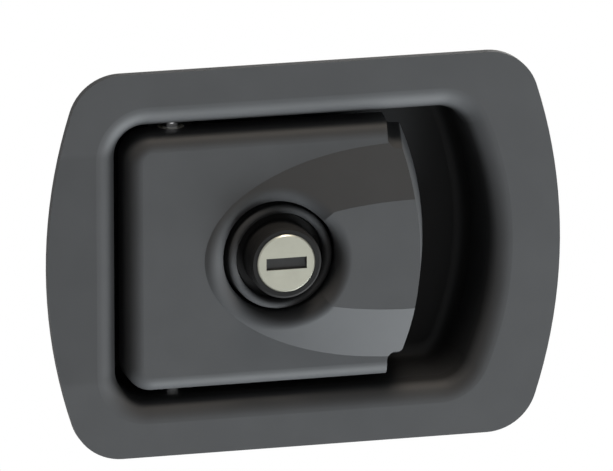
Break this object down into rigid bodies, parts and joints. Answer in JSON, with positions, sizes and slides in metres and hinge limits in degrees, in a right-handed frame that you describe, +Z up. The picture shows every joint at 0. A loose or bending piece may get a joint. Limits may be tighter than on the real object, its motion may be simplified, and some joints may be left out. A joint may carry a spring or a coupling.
{
  "type": "paddle latch",
  "caption": "Flush black paddle latch: a bowed flange round a deep pocket, a hinged paddle with a raised hood, a central key lock and a spring-loaded slam bolt behind.",
  "frame": {"origin": "centre of the rectangle of four mounting studs, on the outer face of the door, which is the back face of the gasket", "axes": "+X from the hinge end to the finger end, +Y into the door along the studs, +Z up"},
  "size_m": [0.14, 0.051, 0.105],
  "materials": {
    "powder_coat": "satin black powder coat on die-cast zinc",
    "paddle_coat": "satin black powder coat on die-cast zinc",
    "gasket_foam": "matt closed-cell foam",
    "bumper_rubber": "matt moulded rubber",
    "plated_steel": "bright zinc plate",
    "nylon": "natural nylon",
    "lock_black": "satin black coat on die-cast zinc",
    "plug_nickel": "satin nickel plate",
    "wafer_brass": "stamped brass",
    "bolt_zinc": "plain die-cast zinc, tumbled",
    "shutter_black": "dark moulded plastic",
    "spring_steel": "drawn spring wire, lightly oiled"
  },
  "bodies": {
    "pan_assembly": {"pan": "powder_coat", "gasket": "gasket_foam", "mounting_studs": "plated_steel", "paddle_bumpers": "bumper_rubber", "hinge_pin": "plated_steel", "pin_retainer": "plated_steel", "lock_housing": "lock_black", "lock_washer": "plated_steel", "lock_nut": "plated_steel", "bolt_housing": "plated_steel", "housing_screws": "plated_steel", "spring_guides": "plated_steel", "upper_bolt_spring": "spring_steel", "lower_bolt_spring": "spring_steel"},
    "paddle_assembly": {"paddle": "paddle_coat", "upper_hinge_bush": "nylon", "lower_hinge_bush": "nylon"},
    "bolt_assembly": {"bolt": "bolt_zinc"},
    "plug_assembly": {"lock_plug": "plug_nickel", "wafers": "wafer_brass", "keyway_shutter": "shutter_black", "lock_cam": "plated_steel", "cam_washer": "plated_steel", "cam_screw": "plated_steel"}
  },
  "joints": [
    {"name": "paddle_hinge", "type": "hinge", "parent": "pan_assembly", "child": "paddle_assembly", "pos_m": [-0.034, 0.0069, 0], "axis": [0, 0, -1], "range_deg": [0, 30]},
    {"name": "bolt_slide", "type": "slide", "parent": "pan_assembly", "child": "bolt_assembly", "axis": [1, 0, 0], "range_m": [0, 0.01088], "stiffness_N_per_m": 600, "springref_m": -0.01, "deforming": ["upper_bolt_spring", "lower_bolt_spring"]},
    {"name": "plug_turn", "type": "hinge", "parent": "pan_assembly", "child": "plug_assembly", "pos_m": [-0.00675, 0, 0], "axis": [0, -1, 0], "range_deg": [0, 90]}
  ],
  "couplings": [
    {"joint": "bolt_slide", "follows": "paddle_hinge", "m_per_rad": 0.020761}
  ]
}
